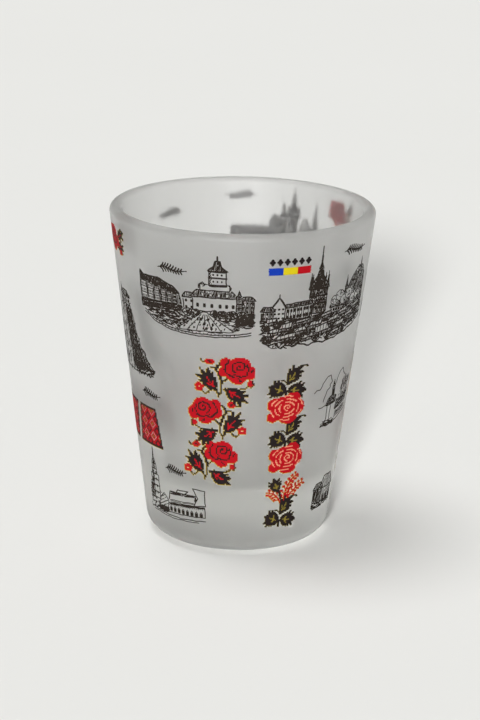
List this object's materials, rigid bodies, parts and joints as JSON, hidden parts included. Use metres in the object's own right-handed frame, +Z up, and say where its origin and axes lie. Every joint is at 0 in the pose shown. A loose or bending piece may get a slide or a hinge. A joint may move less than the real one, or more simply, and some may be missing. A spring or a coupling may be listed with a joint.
{
  "type": "shot glass",
  "caption": "Small tapered frosted tumbler with a thick solid base, a rounded rim and thin printed ink motifs lying round its outer wall.",
  "frame": {"origin": "centre of the base, on the table", "axes": "+Z up along the glass's axis, -Y towards the front, where the two long rose columns stand, +X to the right seen from the front"},
  "size_m": [0.047, 0.047, 0.06],
  "materials": {
    "frosted_glass": "acid-etched matt",
    "drawing_ink": "fired ceramic ink, satin",
    "rose_ink": "fired ceramic ink, satin",
    "bar_ink": "fired ceramic ink, satin"
  },
  "bodies": {
    "root": {"glass_body": "frosted_glass", "town_square_print": "drawing_ink", "skyline_print": "drawing_ink", "rock_castle_print": "drawing_ink", "lower_town_print": "drawing_ink", "line_castle_print": "drawing_ink", "gate_house_print": "drawing_ink", "chapel_print": "drawing_ink", "twin_spire_print": "drawing_ink", "hill_fortress_print": "drawing_ink", "wooden_church_print": "drawing_ink", "bridge_print": "drawing_ink", "farmhouse_print": "drawing_ink", "pen_flourishes": "drawing_ink", "rose_column_left": "rose_ink", "rose_column_right": "rose_ink", "rose_column_side": "rose_ink", "rose_column_back": "rose_ink", "rose_sprig_left": "rose_ink", "rose_sprig_back": "rose_ink", "folk_ornaments": "rose_ink", "colour_bar": "bar_ink"}
  },
  "joints": []
}
